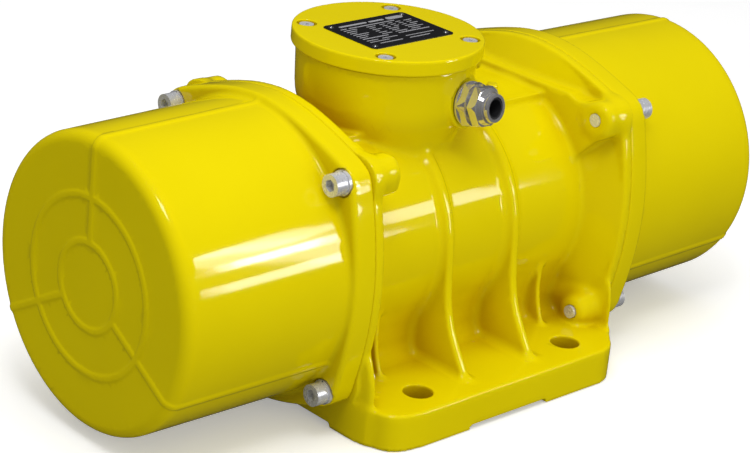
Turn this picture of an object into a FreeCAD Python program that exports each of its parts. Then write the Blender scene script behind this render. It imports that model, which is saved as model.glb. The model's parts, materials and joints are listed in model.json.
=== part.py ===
import FreeCAD, Part
import math
import os
import re

from FreeCAD import Placement, Rotation, Vector

# Electric vibration motor with a foot-mounted cast body, millimetres.
# +X runs along the shaft, -Y is the side with the cable entry, +Z is up.
# The origin is on the mounting plane, under the middle of the body.

doc = FreeCAD.newDocument("VibrationMotor")
sheet = doc.addObject("Spreadsheet::Sheet", "Params")
sheet.Label = "Params"

PARAMS = [
    # body casting
    ("shaft_height", 116.4, "shaft axis above the mounting plane"),
    ("part_plane", 132.0, "end face of the body, where the covers seat"),
    ("flange_in", 123.5, "inner face of the body flange"),
    ("barrel_r", 83.6, "outside of the barrel"),
    ("stator_seat_r", 74.6, "bore that holds the stator"),
    ("seat_r", 93.0, "counterbore for the bearing flange"),
    ("seat_depth", 8.0, "depth of that counterbore"),
    ("collar_r", 97.0, "thickened collar behind the flange"),
    ("collar_in", 107.0, "inner end of the collar"),
    ("lug_y", 90.0, "cover bolt, sideways from the shaft"),
    ("lug_dz", 78.7, "cover bolt, above or below the shaft"),
    ("lug_r", 14.0, "boss round a cover bolt"),
    ("lug_in", 106.0, "inner end of that boss"),
    ("band_x", 33.9, "rib bands, from the middle"),
    ("band_r", 87.0, "outside of the rib bands"),
    ("band_t", 7.0, "thickness of the rib bands"),
    ("small_rib_x", 85.0, "small upright ribs, from the middle"),
    ("small_rib_t", 4.0, "their thickness"),
    # base
    ("base_len", 264.0, "base along the shaft"),
    ("base_wid", 278.4, "base across the shaft"),
    ("base_top", 28.2, "base thickness"),
    ("base_edge", 3.0, "rounding of the base's top edge"),
    ("foot_gap_a", -46.0, "relief under the front and back edges, its left end"),
    ("foot_gap_b", 33.0, "its right end"),
    ("foot_gap_up", 3.5, "height of the reliefs under the base"),
    ("foot_in", 80.0, "inner edge of the feet"),
    ("hole_x", 77.5, "half the hole pitch along the shaft"),
    ("hole_y", 112.5, "half the hole pitch across the shaft"),
    ("hole_r", 11.0, "mounting hole radius, for M20"),
    ("pedestal_wid", 124.0, "block between barrel and base"),
    ("pedestal_top", 87.2, "its top, inside the barrel wall"),
    # deck on top of the barrel
    ("deck_wid", 65.6, "flat pad along the top"),
    ("deck_top", 199.4, "its height"),
    ("beam_top", 206.2, "raised beam next to the flange"),
    ("peg_x", 62.0, "earth boss on the deck"),
    ("peg_y", 22.0, "earth boss, towards the front"),
    ("peg_r", 4.5, "earth boss radius"),
    ("peg_top", 210.2, "earth boss top"),
    # terminal box
    ("box_x", -31.0, "centre of the terminal box"),
    ("box_r", 66.5, "outside of the terminal box at its rim"),
    ("box_low_r", 64.6, "outside at the bottom of the straight wall"),
    ("box_in_r", 58.0, "inside of the terminal box"),
    ("box_neck_r", 53.0, "narrow neck under the box"),
    ("box_low", 210.2, "bottom of the straight wall"),
    ("box_neck_z", 193.2, "bottom of the cone under the box"),
    ("box_floor", 206.2, "floor inside the box"),
    ("box_top", 246.7, "rim of the box"),
    ("lid_gap", 0.8, "gasket thickness"),
    ("lid_r", 70.2, "lid radius"),
    ("lid_t", 11.3, "lid thickness"),
    ("lid_edge", 1.2, "rounding of the lid's top edge"),
    ("lid_bolt_r", 59.4, "lid screws, from the lid's centre"),
    ("lid_pocket_r", 7.2, "recess round a lid screw"),
    ("lid_pocket_d", 5.0, "its depth"),
    ("plate_len", 80.0, "name plate"),
    ("plate_wid", 57.0, "name plate"),
    ("plate_t", 0.6, "name plate thickness"),
    # cable gland
    ("gland_x", -8.6, "gland axis at the boss face"),
    ("gland_y", -64.0, "boss face"),
    ("gland_z", 219.9, "gland height"),
    ("gland_turn", 6.0, "gland axis turned towards +X, degrees"),
    ("gland_tilt", 8.0, "gland axis tilted upwards, degrees"),
    ("gland_boss_r", 19.0, "raised ring round the gland"),
    ("gland_thread_r", 12.5, "M25 entry thread"),
    ("gland_bore_r", 8.5, "clear bore of the gland body"),
    ("gland_hex", 30.0, "across flats of the gland body"),
    ("cap_hex", 28.0, "across flats of the cap nut"),
    ("seal_r", 6.5, "cable hole through the seal"),
    # end covers
    ("half_len", 291.4, "end face of a cover"),
    ("cover_r", 106.7, "cover radius at the closed end"),
    ("cover_root_r", 108.4, "cover radius at its flange"),
    ("cover_edge", 8.6, "rounding of the closed end"),
    ("cover_wall", 6.0, "cover wall"),
    ("cover_flange_t", 19.0, "cover flange thickness"),
    ("rim_edge", 3.2, "rounding of that flange's outer edge"),
    ("spot_depth", 2.5, "spot face under a screw, holds the spring washer"),
    ("bead_r1", 63.8, "outer ring bead on the end"),
    ("bead_r2", 31.5, "inner ring bead on the end"),
    ("bead_wire", 2.4, "radius of a bead's round back"),
    ("bead_up", 0.8, "how far a bead stands up"),
    ("bolt_r", 5.0, "cover screw M10"),
    ("bolt_head_r", 8.0, "its head"),
    ("bolt_head_l", 10.0, "its head"),
    ("bolt_hex", 8.0, "its hexagon socket"),
    ("bolt_tip", 104.5, "tip of the screw, from the middle"),
    ("washer_r", 9.0, "spring washer"),
    ("washer_t", 2.5, "spring washer"),
    ("seal_mid_r", 105.0, "cover seal ring"),
    # rotor and bearings
    ("fit_gap", 0.02, "clearance between parts that are pressed together"),
    ("run_gap", 0.05, "clearance of a weight that can be turned"),
    ("core_half", 50.0, "half length of the iron cores"),
    ("stator_in_r", 45.0, "stator bore"),
    ("rotor_r", 44.4, "rotor radius"),
    ("winding_out_r", 70.0, "winding ends"),
    ("winding_in_r", 50.0, "winding ends"),
    ("winding_half", 80.0, "winding ends, from the middle"),
    ("shaft_mid_r", 25.0, "shaft under the rotor"),
    ("shaft_brg_r", 22.5, "shaft in the bearings"),
    ("shaft_end_r", 20.0, "shaft under the weights"),
    ("shaft_half", 271.0, "half length of the shaft"),
    ("brg_in", 97.0, "inner face of a bearing"),
    ("brg_wid", 36.0, "bearing width"),
    ("brg_out_r", 50.0, "bearing outside"),
    ("brg_race_out", 43.0, "outer raceway"),
    ("brg_race_in", 29.0, "inner raceway"),
    ("roller_r", 6.9, "roller"),
    ("roller_len", 24.0, "roller"),
    ("roller_pitch_r", 36.0, "roller circle"),
    ("bflange_r", 92.9, "bearing flange plate"),
    ("bflange_hub_r", 62.0, "bearing flange hub"),
    ("bflange_out", 135.0, "outer face of that hub"),
    ("weight_r", 92.0, "weights"),
    ("weight_hub_r", 37.0, "weights"),
    ("weight_t", 45.0, "weights"),
    ("weight_in", 155.0, "inner face of the fixed weight"),
    ("weight_gap", 2.6, "scale disc and play between the weights"),
]
VAL = {}
for row, (alias, value, note) in enumerate(PARAMS, start=1):
    sheet.set("A%d" % row, alias)
    sheet.set("B%d" % row, str(value))
    sheet.set("C%d" % row, note)
    sheet.setAlias("B%d" % row, alias)
    VAL[alias] = float(value)
doc.recompute()

WORD = re.compile(r"[A-Za-z_][A-Za-z_0-9]*")


def ex(text):
    """An expression on the sheet, from plain alias words."""
    return WORD.sub(lambda w: "Params." + w.group(0) if w.group(0) in VAL else w.group(0), text)


def num(v):
    """The same expression as a number, for shapes made by hand."""
    if not isinstance(v, str):
        return float(v)
    text = WORD.sub(lambda w: "(%r)" % VAL[w.group(0)] if w.group(0) in VAL else w.group(0), v)
    probe = doc.getObject("Probe") or doc.addObject("App::FeaturePython", "Probe")
    if not hasattr(probe, "Size"):
        probe.addProperty("App::PropertyFloat", "Size")
    return float(probe.evalExpression(text))


def bind(obj, prop, v):
    if isinstance(v, str):
        obj.setExpression(prop, ex(v))
    else:
        setattr(obj, prop, v) if "." not in prop else obj.setExpression(prop, repr(float(v)))


AXES = {"x": Rotation(Vector(0, 1, 0), 90), "y": Rotation(Vector(1, 0, 0), -90), "z": Rotation()}


def put(obj, x, y, z, axis="z", rot=None):
    obj.Placement = Placement(Vector(0, 0, 0), rot or AXES[axis])
    for k, v in (("x", x), ("y", y), ("z", z)):
        obj.setExpression("Placement.Base." + k, ex(v) if isinstance(v, str) else repr(float(v)))
    return obj


COUNT = {}


def name(base):
    COUNT[base] = COUNT.get(base, 0) + 1
    return "%s_%02d" % (base, COUNT[base])


def cyl(r, length, x=0, y=0, z=0, axis="z", rot=None):
    o = doc.addObject("Part::Cylinder", name("cyl"))
    bind(o, "Radius", r)
    bind(o, "Height", length)
    return put(o, x, y, z, axis, rot)


def cylx(r, x0, x1, y=0, z="shaft_height"):
    """A cylinder along X from x0 to x1."""
    return cyl(r, "(%s) - (%s)" % (x1, x0), x0, y, z, "x")


def cone(r1, r2, length, x=0, y=0, z=0, axis="z", rot=None):
    o = doc.addObject("Part::Cone", name("cone"))
    bind(o, "Radius1", r1)
    bind(o, "Radius2", r2)
    bind(o, "Height", length)
    return put(o, x, y, z, axis, rot)


def torus(r, wire, x=0, y=0, z=0, axis="z"):
    o = doc.addObject("Part::Torus", name("torus"))
    bind(o, "Radius1", r)
    bind(o, "Radius2", wire)
    return put(o, x, y, z, axis)


def box(x0, x1, y0, y1, z0, z1):
    o = doc.addObject("Part::Box", name("box"))
    bind(o, "Length", "(%s) - (%s)" % (x1, x0))
    bind(o, "Width", "(%s) - (%s)" % (y1, y0))
    bind(o, "Height", "(%s) - (%s)" % (z1, z0))
    return put(o, x0, y0, z0)


def prism(across_flats, length, x=0, y=0, z=0, axis="z", rot=None):
    o = doc.addObject("Part::Prism", name("prism"))
    o.Polygon = 6
    bind(o, "Circumradius", "(%s) / cos(30 deg)" % across_flats + " / 2")
    bind(o, "Height", length)
    return put(o, x, y, z, axis, rot)


def fuse(*parts):
    o = doc.addObject("Part::MultiFuse", name("fuse"))
    o.Shapes = list(parts)
    o.Refine = True
    return o


def cut(base, tool):
    o = doc.addObject("Part::Cut", name("cut"))
    o.Base = base
    o.Tool = tool
    o.Refine = True
    return o


def common(a, b):
    o = doc.addObject("Part::MultiCommon", name("common"))
    o.Shapes = [a, b]
    return o


def group(*parts):
    o = doc.addObject("Part::Compound", name("group"))
    o.Links = list(parts)
    return o


def fillet(base, radius, wanted):
    """Round the edges of base that wanted(edge) picks."""
    doc.recompute()
    picked = [i + 1 for i, e in enumerate(base.Shape.Edges) if wanted(e)]
    o = doc.addObject("Part::Fillet", name("fillet"))
    o.Base = base
    o.Edges = [(i, radius, radius) for i in picked]
    return o


NODES = []


def node(label, obj):
    obj.Label = label
    NODES.append((label, obj))
    return obj


def plate_yz(points, x0, x1, closed_curve=False):
    """A plate across the shaft: points are (y, z above the shaft), from x0 to x1."""
    pts = [Vector(0, y, z) for y, z in points]
    if closed_curve:
        curve = Part.BSplineCurve()
        curve.interpolate(Points=pts, PeriodicFlag=True)
        wire = Part.Wire([curve.toShape()])
    else:
        wire = Part.makePolygon(pts + [pts[0]])
    o = doc.addObject("Part::Feature", name("outline"))
    o.Shape = Part.Face(wire)
    o.setExpression("Placement.Base.x", ex(x0))
    o.setExpression("Placement.Base.z", ex("shaft_height"))
    e = doc.addObject("Part::Extrusion", name("plate"))
    e.Base = o
    e.DirMode = "Custom"
    e.Dir = Vector(1, 0, 0)
    e.Solid = True
    e.setExpression("LengthFwd", ex("(%s) - (%s)" % (x1, x0)))
    return e


# ---------------------------------------------------------------- flange outline
# radius of the flanges against the angle from the top, the same in all four quarters
FLANGE = [(0, 113.2), (13, 113.6), (24, 115.6), (33, 119.2), (40, 123.8), (45, 127.8), (48.8, 129.6),
          (52.5, 127.9), (57, 124.0), (63, 120.2), (71, 116.6), (80, 114.3)]
ring = []
for turn in range(4):
    quarter = FLANGE + [(90, 113.5)] if turn % 2 == 0 else [(90 - a, r) for a, r in reversed(FLANGE + [(90, 113.5)])]
    for a, r in quarter[:-1]:
        # a little flatter at the very bottom, which stays clear of the mounting surface
        r -= {180: 1.3, 167: 0.6, 193: 0.6}.get(a + 90 * turn, 0)
        t = math.radians(a + 90 * turn)
        ring.append((r * math.sin(t), r * math.cos(t)))


def flange(x0, x1):
    return plate_yz(ring, x0, x1, True)


# ---------------------------------------------------------------- base plate outline
# front left and front right corners, seen from above: (distance from the middle, distance from the middle)
LEFT_CORNER = [(-132, 80), (-130.8, 90), (-129.7, 106), (-126.7, 119.5), (-121.6, 130.5), (-111.7, 136.8), (-96, 139.2)]
RIGHT_CORNER = [(94, 139.2), (102.4, 136.6), (109.5, 131.6), (114.6, 126), (119.4, 121.2), (126, 112.5), (130.5, 99), (132, 84)]


def base_plate():
    def spline(pts):
        c = Part.BSplineCurve()
        c.interpolate(Points=[Vector(x, y, 0) for x, y in pts])
        return c.toShape()

    def line(p, q):
        return Part.LineSegment(Vector(p[0], p[1], 0), Vector(q[0], q[1], 0)).toShape()

    def low(pts):
        return [(x, -y) for x, y in pts]

    le, ri = LEFT_CORNER, RIGHT_CORNER
    edges = [spline(le), line(le[-1], ri[0]), spline(ri), line(ri[-1], low(ri)[-1]), spline(low(ri)[::-1]),
             line(low(ri)[0], low(le)[-1]), spline(low(le)[::-1]), line(low(le)[0], le[0])]
    o = doc.addObject("Part::Feature", name("outline"))
    o.Shape = Part.Face(Part.Wire(edges))
    e = doc.addObject("Part::Extrusion", name("plate"))
    e.Base = o
    e.DirMode = "Custom"
    e.Dir = Vector(0, 0, 1)
    e.Solid = True
    e.setExpression("LengthFwd", ex("base_top"))
    return e


# ---------------------------------------------------------------- motor housing
solids = [cylx("barrel_r", "-part_plane", "part_plane")]
for s, a, b in ((1, "flange_in", "part_plane"), (-1, "-part_plane", "-flange_in")):
    solids.append(flange(a, b))
    c0, c1 = ("collar_in", "flange_in + 1") if s > 0 else ("-flange_in - 1", "-collar_in")
    solids.append(cylx("collar_r", c0, c1))
    l0, l1 = ("lug_in", "part_plane") if s > 0 else ("-part_plane", "-lug_in")
    for sy in (-1, 1):
        for sz in (-1, 1):
            solids.append(cylx("lug_r", l0, l1, "%d * lug_y" % sy, "shaft_height + %d * lug_dz" % sz))
    # beam between the two upper lugs
    solids.append(plate_yz([(-96, 86), (-62, 89.8), (62, 89.8), (96, 86), (96, 68), (-96, 68)], c0, c1))
    # wings of the body flange that run down into the base
    wing = [(100, -46), (108.3, -49), (110.8, -53), (112.8, -58.5), (115, -66), (116.3, -73), (116.7, -80), (116.8, -100)]
    solids.append(plate_yz(wing + [(-y, z) for y, z in reversed(wing)], a, b))
    # webs from the collar down to the base
    solids.append(box(c0, c1, -88, 88, 20, "shaft_height - 40"))
    # small upright ribs
    r0, r1 = (("small_rib_x - small_rib_t / 2", "small_rib_x + small_rib_t / 2") if s > 0
              else ("-small_rib_x - small_rib_t / 2", "-small_rib_x + small_rib_t / 2"))
    small = [(81.5, -89.2), (78.5, -81), (76.3, -73.5), (74.6, -66), (73.6, -58), (73.6, -50.2), (60, -44)]
    solids.append(plate_yz(small + [(-y, z) for y, z in reversed(small)], r0, r1))
    # rib bands with their gussets
    b0, b1 = (("band_x - band_t / 2", "band_x + band_t / 2") if s > 0
              else ("-band_x - band_t / 2", "-band_x + band_t / 2"))
    solids.append(cylx("band_r", b0, b1))
    g = [(86, 20), (89.6, 0), (91.1, -19.3), (92.0, -27), (93.2, -36), (95.6, -46), (99.2, -56.1), (103.2, -63.5),
         (108.0, -71.0), (113.0, -79.0), (117.0, -85.5), (119.8, -89.2)]
    solids.append(plate_yz(g + [(-y, z) for y, z in reversed(g)], b0, b1))
solids.append(box("-flange_in", "flange_in", "-deck_wid / 2", "deck_wid / 2", "shaft_height", "deck_top"))
solids.append(box("-flange_in", "flange_in", "-pedestal_wid / 2", "pedestal_wid / 2", 15, "pedestal_top"))
slab = base_plate()
slab = fillet(slab, VAL["base_edge"], lambda e: min(v.Z for v in e.Vertexes) > VAL["base_top"] - 0.1)
solids.append(slab)
solids.append(cyl("box_neck_r", "box_neck_z - 150", "box_x", 0, 150))
solids.append(cone("box_neck_r", "box_low_r", "box_low - box_neck_z", "box_x", 0, "box_neck_z"))
solids.append(cone("box_low_r", "box_r", "box_top - box_low", "box_x", 0, "box_low"))
GT, GK = math.radians(VAL["gland_turn"]), math.radians(VAL["gland_tilt"])
GDIR = Vector(math.sin(GT) * math.cos(GK), -math.cos(GT) * math.cos(GK), math.sin(GK))
GROT = Rotation(Vector(0, 0, 1), GDIR)


def gpos(d):
    """A point on the gland's axis, d outward from its boss face."""
    return ("gland_x + (%s) * sin(gland_turn * 1 deg) * cos(gland_tilt * 1 deg)" % d,
            "gland_y - (%s) * cos(gland_turn * 1 deg) * cos(gland_tilt * 1 deg)" % d,
            "gland_z + (%s) * sin(gland_tilt * 1 deg)" % d)


def gcyl(r, d0, d1):
    return cyl(r, "(%s) - (%s)" % (d1, d0), *gpos(d0), rot=GROT)


solids.append(gcyl("gland_boss_r", -14, 0))
solids.append(cyl("peg_r", "peg_top - 188", "peg_x", "-peg_y", 188))
casting = fuse(*solids)

hollow = [cylx("stator_seat_r", "-part_plane - 1", "part_plane + 1")]
for s in (-1, 1):
    a, b = ("part_plane - seat_depth", "part_plane + 1") if s > 0 else ("-part_plane - 1", "-part_plane + seat_depth")
    hollow.append(cylx("seat_r", a, b))
    for sy in (-1, 1):
        for sz in (-1, 1):
            a, b = ("lug_in - 5", "part_plane + 1") if s > 0 else ("-part_plane - 1", "-lug_in + 5")
            hollow.append(cylx("bolt_r + fit_gap", a, b, "%d * lug_y" % sy, "shaft_height + %d * lug_dz" % sz))
    for k in range(6):
        t = math.radians(60 * k)
        a, b = ("part_plane - seat_depth - 10", "part_plane") if s > 0 else ("-part_plane", "-part_plane + seat_depth + 10")
        hollow.append(cylx("3 + fit_gap", a, b, 84.5 * math.cos(t), "shaft_height + %r" % (84.5 * math.sin(t))))
hollow.append(cyl("box_in_r", "box_top + 1 - box_floor", "box_x", 0, "box_floor"))
hollow.append(cyl(9, 30, "box_x - 36", 0, 183.2))
hollow.append(gcyl("gland_thread_r + fit_gap", -20, 1))
hollow.append(gcyl("gland_boss_r - 0.8", 0, 7))
hollow.append(box("foot_gap_a", "foot_gap_b", "-base_wid", "base_wid", -1, "foot_gap_up"))
hollow.append(box("-base_len", "base_len", "-foot_in", "foot_in", -1, "foot_gap_up"))
for sx in (-1, 1):
    for sy in (-1, 1):
        hollow.append(cyl("hole_r", "base_top + 2", "%d * hole_x" % sx, "%d * hole_y" % sy, -1))
casting = cut(casting, fuse(*hollow))
bosses, taps = [], []
for k in range(4):
    t = math.radians(45 + 90 * k)
    bx, by = "box_x + %r * lid_bolt_r" % math.cos(t), "%r * lid_bolt_r" % math.sin(t)
    bosses.append(cyl(6.5, "box_top - 218.2", "box_x + %r * 56" % math.cos(t), "%r * 56" % math.sin(t), 218.2))
    taps.append(cyl("3 + fit_gap", 26, bx, by, "box_top - 16"))
keep = common(fuse(*bosses), cyl("box_in_r + 2", 100, "box_x", 0, 203.2))
housing = node("motor_housing", cut(fuse(casting, keep), fuse(*taps)))

# ---------------------------------------------------------------- terminal box lid, a PartDesign body


def plane(body, role):
    return [f for f in body.Origin.OriginFeatures if f.Role == role][0]


def circle_sketch(body, label, r, cx=0.0, cy=0.0, role="XY_Plane", offset=None, cxe=None, cye=None):
    s = body.newObject("Sketcher::SketchObject", label)
    s.AttachmentSupport = [(plane(body, role), "")]
    s.MapMode = "FlatFace"
    s.addGeometry(Part.Circle(Vector(cx, cy, 0), Vector(0, 0, 1), num(r)), False)
    import Sketcher
    s.addConstraint(Sketcher.Constraint("Radius", 0, num(r)))
    s.setExpression("Constraints[0]", ex(r) if isinstance(r, str) else repr(float(r)))
    if offset is not None:
        s.setExpression("AttachmentOffset.Base.z", ex(offset) if isinstance(offset, str) else repr(float(offset)))
    if cxe is None:
        s.addConstraint(Sketcher.Constraint("Coincident", 0, 3, -1, 1))
    else:
        s.addConstraint(Sketcher.Constraint("DistanceX", -1, 1, 0, 3, cx))
        s.setExpression("Constraints[1]", ex(cxe))
        s.addConstraint(Sketcher.Constraint("DistanceY", -1, 1, 0, 3, cy))
        s.setExpression("Constraints[2]", ex(cye))
    return s


lid = doc.addObject("PartDesign::Body", "LidBody")
put(lid, "box_x", 0, "box_top + lid_gap")
sk = circle_sketch(lid, "LidDisc", "lid_r")
pad = lid.newObject("PartDesign::Pad", "LidPad")
pad.Profile = sk
pad.setExpression("Length", ex("lid_t"))
doc.recompute()
sk = circle_sketch(lid, "LidPocketCircle", "lid_pocket_r", num("lid_bolt_r") * math.cos(math.pi / 4), num("lid_bolt_r") * math.sin(math.pi / 4),
                   offset="lid_t - lid_pocket_d", cxe="lid_bolt_r * cos(45 deg)", cye="lid_bolt_r * sin(45 deg)")
pk = lid.newObject("PartDesign::Pocket", "LidPocket")
pk.Profile = sk
pk.Reversed = True
pk.setExpression("Length", ex("lid_pocket_d + 1"))
sk2 = circle_sketch(lid, "LidHoleCircle", 3.3, num("lid_bolt_r") * math.cos(math.pi / 4), num("lid_bolt_r") * math.sin(math.pi / 4),
                    offset="lid_t", cxe="lid_bolt_r * cos(45 deg)", cye="lid_bolt_r * sin(45 deg)")
hk = lid.newObject("PartDesign::Pocket", "LidHole")
hk.Profile = sk2
hk.setExpression("Length", ex("lid_t + 1"))
doc.recompute()
pat = lid.newObject("PartDesign::PolarPattern", "LidPattern")
pat.Originals = [pk, hk]
pat.Axis = ([f for f in lid.Origin.OriginFeatures if f.Role == "Z_Axis"][0], [""])
pat.Angle = 360
pat.Occurrences = 4
lid.Tip = pat
doc.recompute()
fl = lid.newObject("PartDesign::Fillet", "LidEdge")
fl.Base = (pat, ["Edge%d" % (i + 1) for i, e in enumerate(pat.Shape.Edges)
                 if isinstance(e.Curve, Part.Circle) and abs(e.Curve.Radius - VAL["lid_r"]) < 0.01])
fl.setExpression("Radius", ex("lid_edge"))
lid.Tip = fl
doc.recompute()
rs = lid.newObject("Sketcher::SketchObject", "LidRivetCircles")
rs.AttachmentSupport = [(plane(lid, "XY_Plane"), "")]
rs.MapMode = "FlatFace"
rs.setExpression("AttachmentOffset.Base.z", ex("lid_t"))
import Sketcher
for i, (sx, sy) in enumerate(((-1, -1), (-1, 1), (1, -1), (1, 1))):
    cx, cy = sx * (VAL["plate_len"] / 2 - 5), sy * (VAL["plate_wid"] / 2 - 5)
    rs.addGeometry(Part.Circle(Vector(cx, cy, 0), Vector(0, 0, 1), 1.3), False)
    rs.addConstraint(Sketcher.Constraint("Radius", i, 1.3))
    n = rs.addConstraint(Sketcher.Constraint("DistanceX", -1, 1, i, 3, cx))
    rs.setExpression("Constraints[%d]" % n, ex("%d * (plate_len / 2 - 5)" % sx))
    n = rs.addConstraint(Sketcher.Constraint("DistanceY", -1, 1, i, 3, cy))
    rs.setExpression("Constraints[%d]" % n, ex("%d * (plate_wid / 2 - 5)" % sy))
rp = lid.newObject("PartDesign::Pocket", "LidRivetHoles")
rp.Profile = rs
rp.Length = 3.4
lid.Tip = rp
node("terminal_lid", lid)

gasket = cut(cyl("box_r", "lid_gap", "box_x", 0, "box_top"), cyl("box_in_r - 0.5", "lid_gap + 2", "box_x", 0, "box_top - 1"))
holes = fuse(*[cyl(3.3, 4, "box_x + %r * lid_bolt_r" % math.cos(math.radians(a)), "%r * lid_bolt_r" % math.sin(math.radians(a)),
                   "box_top - 2") for a in (45, 135, 225, 315)])
node("lid_gasket", cut(gasket, holes))


def cap_screw(r, head_r, head_l, hexa, x, y, z0, down):
    """A vertical socket screw: seat at z0, head upward, shank down long."""
    head = cyl(head_r, head_l, x, y, z0)
    shank = cyl(r, "(%s) + 0.5" % down, x, y, "(%s) - (%s)" % (z0, down))
    sock = prism(hexa, "(%s) * 0.55 + 1" % head_l, x, y, "(%s) + (%s) * 0.45" % (z0, head_l))
    return cut(fuse(head, shank), sock)


node("lid_screws", group(*[cap_screw(3, 5.3, 4, 3, "box_x + %r * lid_bolt_r" % math.cos(math.radians(a)),
                                     "%r * lid_bolt_r" % math.sin(math.radians(a)),
                                     "box_top + lid_gap + lid_t - lid_pocket_d", 19.5) for a in (45, 135, 225, 315)]))

# name plate, blank, and its rivets
top = "box_top + lid_gap + lid_t"
plate = box("box_x - plate_len / 2", "box_x + plate_len / 2", "-plate_wid / 2", "plate_wid / 2", top, top + " + plate_t")
plate = fillet(plate, 4.0, lambda e: abs(e.tangentAt(e.FirstParameter).z) > 0.9)
rivet_at = [("box_x + %d * (plate_len / 2 - 5)" % sx, "%d * (plate_wid / 2 - 5)" % sy) for sx in (-1, 1) for sy in (-1, 1)]
plate = cut(plate, fuse(*[cyl(1.3, 6, x, y, top + " - 2") for x, y in rivet_at]))
node("name_plate", plate)
rivets = []
for x, y in rivet_at:
    head = cone(2.2, 1.4, 0.9, x, y, top + " + plate_t")
    rivets.append(fuse(head, cyl(1.28, "plate_t + 3.5", x, y, top + " - 3.2")))
node("name_plate_rivets", group(*rivets))

# ---------------------------------------------------------------- cable gland
body = fuse(gcyl("gland_thread_r", -16, 3.1), cyl("gland_hex / 2 + 1.4", 1.6, *gpos(1.6), rot=GROT),
            common(prism("gland_hex", 6.6, *gpos(3.1), rot=GROT), cone(17.6, 15.6, 6.6, *gpos(3.1), rot=GROT)),
            gcyl(12.4, 9, 12.4), gcyl(11.0, 12, 19.6))
node("gland_body", cut(body, gcyl("gland_bore_r", -18, 22)))
cap = fuse(common(prism("cap_hex", 6.6, *gpos(12.5), rot=GROT), cone(18.4, 14.9, 6.6, *gpos(12.5), rot=GROT)),
           cone(13.6, 11.6, 3.4, *gpos(19.0), rot=GROT), gcyl(10.2, 22, 24.6),
           cone(10.9, 10.3, 2.0, *gpos(24.6), rot=GROT))
cap = cut(cap, fuse(gcyl("11.0 + fit_gap", 11, 19.62), gcyl(8.1, 18, 28)))
node("gland_cap_nut", cap)
node("gland_seal", cut(fuse(gcyl("gland_bore_r - fit_gap", 13.9, 19.2), gcyl("8.1 - fit_gap", 19.1, 25.9)), gcyl("seal_r", 10, 30)))
node("gland_o_ring", cut(gcyl(15.2, 0, 1.6), gcyl("gland_thread_r + fit_gap", -1, 3)))

# ---------------------------------------------------------------- terminal block and leads
tb = box("box_x - 30", "box_x + 30", -20, 20, "box_floor", "box_floor + 14")
stud_at = [("box_x + %d" % dx, dy) for dx in (-18, 0, 18) for dy in (-9, 9)]
tb = cut(tb, fuse(*[cyl("2.5 + fit_gap", 12, x, y, "box_floor + 6") for x, y in stud_at]))
node("terminal_block", tb)
node("terminal_studs", group(*[cyl(2.5, 22, x, y, "box_floor + 6") for x, y in stud_at]))
node("terminal_nuts", group(*[cut(prism(8, 4, x, y, "box_floor + 14"), cyl("2.5 + fit_gap", 6, x, y, "box_floor + 13")) for x, y in stud_at]))
leads = []
for dy in (-5.0, 0.0, 5.0):
    # up out of the winding through the body, over one bend, to the block
    z0, z1, rb, rw = 186.4, 217.2, 8.0, 1.6
    xw, xe = VAL["box_x"] - 40.0, VAL["box_x"] - 30.0
    up = Part.LineSegment(Vector(xw, dy, z0), Vector(xw, dy, z1 - rb))
    mid = Vector(xw + rb * (1 - math.sqrt(0.5)), dy, z1 - rb * (1 - math.sqrt(0.5)))
    bend = Part.Arc(Vector(xw, dy, z1 - rb), mid, Vector(xw + rb, dy, z1))
    out = Part.LineSegment(Vector(xw + rb, dy, z1), Vector(xe, dy, z1))
    path = Part.Wire([up.toShape(), bend.toShape(), out.toShape()])
    prof = Part.Wire([Part.Circle(Vector(xw, dy, z0), Vector(0, 0, 1), rw).toShape()])
    lead = doc.addObject("Part::Feature", name("lead"))
    lead.Shape = path.makePipeShell([prof], True, False)
    leads.append(lead)
node("lead_wires", group(*leads))
ex_x, ex_y = "box_x + 8", 36
# earth screw on the floor of the box
node("earth_screw", cut(cyl(5, 4, ex_x, ex_y, "box_floor"), prism(4, 5, ex_x, ex_y, "box_floor + 1.8")))


# ---------------------------------------------------------------- end covers
def ends(s, a, b):
    """The span from a to b of the distance from the middle, on side s, as two expressions in order."""
    return ("(%s)" % a, "(%s)" % b) if s > 0 else ("-(%s)" % b, "-(%s)" % a)


def tube(s, r, a, b, y=0, z="shaft_height"):
    x0, x1 = ends(s, a, b)
    return cylx(r, x0, x1, y, z)


def taper(s, r_near, r_far, a, b):
    x0, x1 = ends(s, a, b)
    r1, r2 = (r_near, r_far) if s > 0 else (r_far, r_near)
    return cone(r1, r2, "(%s) - (%s)" % (x1, x0), x0, 0, "shaft_height", "x")


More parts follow.
